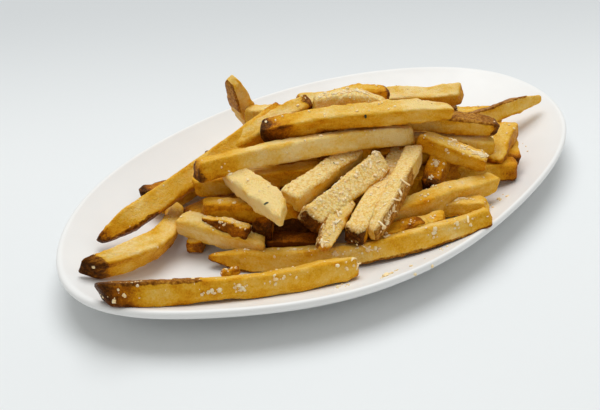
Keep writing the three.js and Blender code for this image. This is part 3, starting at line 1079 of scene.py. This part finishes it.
def join_bits(name, bits, finish, node):
    """One piece of all the bits, each with its own faces."""
    points, faces, first = [], [], 0
    for bit_points, bit_faces in bits:
        points.append(bit_points)
        faces.append(bit_faces + first)
        first += len(bit_points)
    mesh = bpy.data.meshes.new(name)
    mesh.from_pydata(np.concatenate(points) * MM, [], np.concatenate(faces).tolist())
    mesh.materials.append(finish)
    piece = link(name, mesh)
    nothing_selected()
    piece.select_set(True)
    bpy.context.view_layer.objects.active = piece
    bpy.ops.object.shade_smooth_by_angle(angle=math.radians(50))
    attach(piece, "root")
    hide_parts(node)
    return piece


def crumb_sizes(chance, middle):
    """A crumb's length, width and thickness in mm, drawn at random about that middle length."""
    size = min(max(middle * math.exp(chance.gauss(0, CRUMB_VARIES)), LEAST_CRUMB), MOST_CRUMB)
    return np.array([size, size * chance.uniform(0.55, 1), size * chance.uniform(0.4, 0.75)])


def toward(f, share, degrees):
    """A point on a fry's middle line and the way out of its side, that many degrees round to the left."""
    _, run, _, _, _, _ = ways_of(f)
    return place_on(f, share), Matrix.Rotation(math.radians(-degrees), 3, run.normalized()) @ UP


def drop_on_fry(surface, f, share, degrees):
    """Where something that comes straight at the fry lands, if nothing else is in its way."""
    middle, way = toward(f, share, degrees)
    met = surface.meet(middle + way * FALL_ON_FRY, -way)
    if met and (met[0] - middle).length < f["wide"]:
        return met[0], met[1]
    return None


def scatter_cheese(surface, fries, shapes, chance):
    """Crumbs in loose drifts on the upper sides of the fries, wherever those lie open."""
    bits = []
    for f in fries:
        drifts = [chance.uniform(0.05, 0.95) for _ in range(FRY_DRIFTS)]
        for _ in range(f["cheese"]):
            for _ in range(TRIES):
                share = chance.uniform(0.02, 0.98)
                if chance.random() < IN_DRIFTS:
                    share = min(max(chance.gauss(chance.choice(drifts), ALONG_SPREAD), 0.01), 0.99)
                landed = drop_on_fry(surface, f, share, chance.gauss(0, ROUND_SPREAD))
                if landed:
                    shape = chance.choice(shapes)
                    bits.append(lay_bit(shape, *landed, crumb_sizes(chance, LOOSE_CRUMB), chance))
                    break
    return bits


# Cheese that stands out: fry, share along it, degrees round to its left, crumbs, shreds, spread in mm.
DRIFTS = (
    ("long_front", 0.04, -70, 8, 0, 3),
    ("long_front", 0.41, -70, 14, 0, 3),
    ("long_front", 0.52, -64, 18, 0, 1.4),
    ("long_front", 0.68, -50, 10, 0, 4),
    ("long_front", 0.97, -30, 10, 3, 4),
    ("short_cream", 0.9, 40, 10, 0, 4),
    ("crusted_middle", 0.35, 0, 10, 1, 6),
    ("crusted_middle", 0.8, 0, 18, 3, 6),
    ("crusted_low", 0.6, 0, 10, 2, 6),
    ("narrow_skinned", 0.3, -60, 18, 5, 4),
    ("narrow_skinned", 0.12, -70, 14, 3, 4),
    ("stringy", 0.3, -30, 12, 6, 4),
    ("right_cross", 0.2, 20, 16, 3, 4),
    ("right_cross", 0.85, 0, 44, 6, 5),
    ("top_short_pale", 0.5, 0, 22, 5, 4),
    ("right_short", 0.6, 0, 14, 5, 4),
    ("low_right", 0.4, 0, 12, 4, 4),
    ("pointed", 0.55, -40, 16, 1, 6),
    ("pointed", 0.85, -50, 16, 1, 6),
    ("back_middle", 0.5, 10, 24, 8, 6),
    ("back_right", 0.4, 0, 26, 8, 6),
    ("back_cross", 0.5, 10, 18, 5, 5),
)


def heap_drifts(surface, fries, shapes, shred, chance):
    """Crumbs and shreds where they lie thick."""
    bits = []
    for name, share, degrees, crumbs, shreds, spread in DRIFTS:
        f = fries[name]
        length = (Vector(f["end"]) - Vector(f["start"])).length
        for i in range(crumbs + shreds):
            where = min(max(chance.gauss(share, spread / length), 0.0), 1.0)
            landed = drop_on_fry(surface, f, where, chance.gauss(degrees, DRIFT_ROUND_SPREAD))
            if not landed:
                continue
            if i < crumbs:
                shape = chance.choice(shapes)
                bits.append(lay_bit(shape, *landed, crumb_sizes(chance, DRIFT_CRUMB), chance))
            else:
                long = chance.uniform(*SHRED_LONG)
                heading = chance.uniform(0, math.tau)
                wide, thick = chance.uniform(*SHRED_WIDE), chance.uniform(*SHRED_THICK)
                bits.append(lay_shred(shred, surface, landed[0], heading, long, wide, thick, chance))
    return bits


# Crumbs on the plate itself: place, spread in mm, how many. Then the places of those on its lip.
PLATE_CRUMBS = (
    ((-56, -60), (5, 3), 9),
    ((-40, -69), (8, 2), 8),
    ((-66, -42), (6, 5), 6),
    ((-20, -73), (12, 1.5), 7),
    ((30, -66), (10, 3), 6),
    ((80, -40), (10, 8), 6),
    ((60, 40), (14, 6), 12),
    ((-10, 60), (25, 4), 10),
    ((-90, 22), (8, 12), 5),
)
LIP_CRUMBS = ((-38.3, -78.5), (-30.1, -79.4))


def drop_on_plate(surface, shapes, chance):
    """Crumbs that fell beside the heap, and those on the lip."""
    bits = []
    for (x, y), (long, wide), count in PLATE_CRUMBS:
        for _ in range(count):
            spot = Vector((chance.gauss(x, long / 2), chance.gauss(y, wide / 2), FALL_ON_PLATE))
            met = surface.meet(spot, -UP)
            if met and share_out(met[0].x, met[0].y) < CRUMBS_WITHIN:
                shape = chance.choice(shapes)
                bits.append(lay_bit(shape, met[0], met[1], crumb_sizes(chance, PLATE_CRUMB), chance))
    for x, y in LIP_CRUMBS:
        way_out = Vector((x, y, 0)).normalized()
        spot = Vector((x, y, RIM_HEIGHT - LIP_CRUMB_BELOW))
        met = surface.meet(spot + way_out * FALL_ON_LIP, -way_out)
        if met:
            bits.append(lay_bit(shapes[0], met[0], met[1], np.array(LIP_CRUMB_SIZES), chance))
    return bits


# Herb flecks: fry, share along it, degrees round to its left.
HERBS = (
    ("top_bright", 0.53, -70),
    ("crusted_left", 0.56, -30),
    ("short_cream", 0.16, 50),
    ("back_middle", 0.35, 12),
    ("back_right", 0.62, -8),
    ("back_high", 0.4, 15),
)


def make_herbs(surface, fries, shapes, chance):
    """The few flecks of herb, each where it fell on a fry."""
    flecks = []
    for name, share, degrees in HERBS:
        landed = drop_on_fry(surface, fries[name], share, degrees)
        if landed:
            flecks.append(lay_bit(shapes[1], *landed, np.array(HERB_SIZES), chance))
    return join_bits("herb_flecks", flecks, herb_finish(), "fries")


# ------------------------------------------------------------------------------------------------
# Camera, light and table

# The camera: its place in metres, its heading from +Y round to +X, how far it looks down and how far it
# rolls, in degrees, and its lens in mm.
CAMERA_AT = (-0.267, -0.2694, 0.216)
CAMERA_HEADING = 42.5
CAMERA_DOWN = 30
CAMERA_ROLL = -3
CAMERA_LENS = 60


def set_camera():
    heading, down, roll = (math.radians(a) for a in (CAMERA_HEADING, CAMERA_DOWN, CAMERA_ROLL))
    ahead = Vector((math.sin(heading) * math.cos(down), math.cos(heading) * math.cos(down), -math.sin(down)))
    right = Vector((math.cos(heading), -math.sin(heading), 0))
    up = right.cross(ahead)
    leaned_right = right * math.cos(roll) + up * math.sin(roll)
    leaned_up = up * math.cos(roll) - right * math.sin(roll)
    data = bpy.data.cameras.new("camera")
    data.lens = CAMERA_LENS
    data.sensor_width = 36
    data.clip_start = 0.01
    camera = link("camera", data)
    axes = Matrix((leaned_right, leaned_up, -ahead)).transposed()
    camera.matrix_world = Matrix.Translation(CAMERA_AT) @ axes.to_4x4()
    bpy.context.scene.camera = camera


def add_lamp(name, place, size, power, colour):
    data = bpy.data.lights.new(name, "AREA")
    data.shape = "DISK"
    data.size = size
    data.energy = power
    data.color = colour
    lamp = link(name, data)
    lamp.location = place
    lamp.rotation_euler = Vector(place).to_track_quat("Z", "Y").to_euler()


def set_light():
    add_lamp("soft_window", place=(0.5, 0.55, 2.0), size=1.8, power=32, colour=(0.97, 0.99, 1.0))
    world = bpy.data.worlds.new("room")
    world.use_nodes = True
    world.node_tree.nodes["Background"].inputs["Color"].default_value = (1.0, 1.0, 0.97, 1)
    world.node_tree.nodes["Background"].inputs["Strength"].default_value = 0.49
    bpy.context.scene.world = world
    bpy.context.scene.view_settings.view_transform = "Standard"


def set_table():
    nothing_selected()
    bpy.ops.mesh.primitive_grid_add(x_subdivisions=8, y_subdivisions=8, size=6)
    table = bpy.context.object
    table.name = "table"
    table.data.materials.append(table_finish())


# ------------------------------------------------------------------------------------------------
# The portion

set_camera()
set_light()
set_table()
plate = make_plate()

potato = potato_finish()
fine_stick = cut_stick(FINE_CUTS)
plain_stick = cut_stick(PLAIN_CUTS)
# The piece that each layer makes, its fries, their raw stick and the first of their numbers, which make
# each fry different, and then its node and slot.
layers = (
    ("front_fry_fried", FRONT_FRY, fine_stick, 1, "front_fry", "crisp_potato"),
    ("fries_on_the_plate", FLOOR_FRIES, fine_stick, 10, "fries", "fried_potato"),
    ("fries_in_front", FRONT_FRIES, fine_stick, 30, "fries", "fried_potato"),
    ("fries_on_top", TOP_FRIES, fine_stick, 50, "fries", "fried_potato"),
    ("fries_at_the_back", BACK_FRIES, fine_stick, 80, "fries", "fried_potato"),
    ("fries_inside", INNER_FRIES, plain_stick, 100, "fries", "fried_potato"),
)
pieces = [make_fries(potato, *layer) for layer in layers]
pieces.append(make_core(potato))

heap = Surface([*pieces, plate])
open_fries = {**FRONT_FRY, **FLOOR_FRIES, **FRONT_FRIES, **TOP_FRIES, **BACK_FRIES}
chance = random.Random(CHEESE_SEED)
crumb_shapes = [bit_shape(number) for number in range(CRUMB_KINDS)]
cheese = scatter_cheese(heap, open_fries.values(), crumb_shapes, chance)
cheese += heap_drifts(heap, open_fries, crumb_shapes, shred_shape(), chance)
cheese += drop_on_plate(heap, crumb_shapes, chance)
join_bits("cheese_bits", cheese, cheese_finish(), "fries")
make_herbs(heap, open_fries, crumb_shapes, chance)
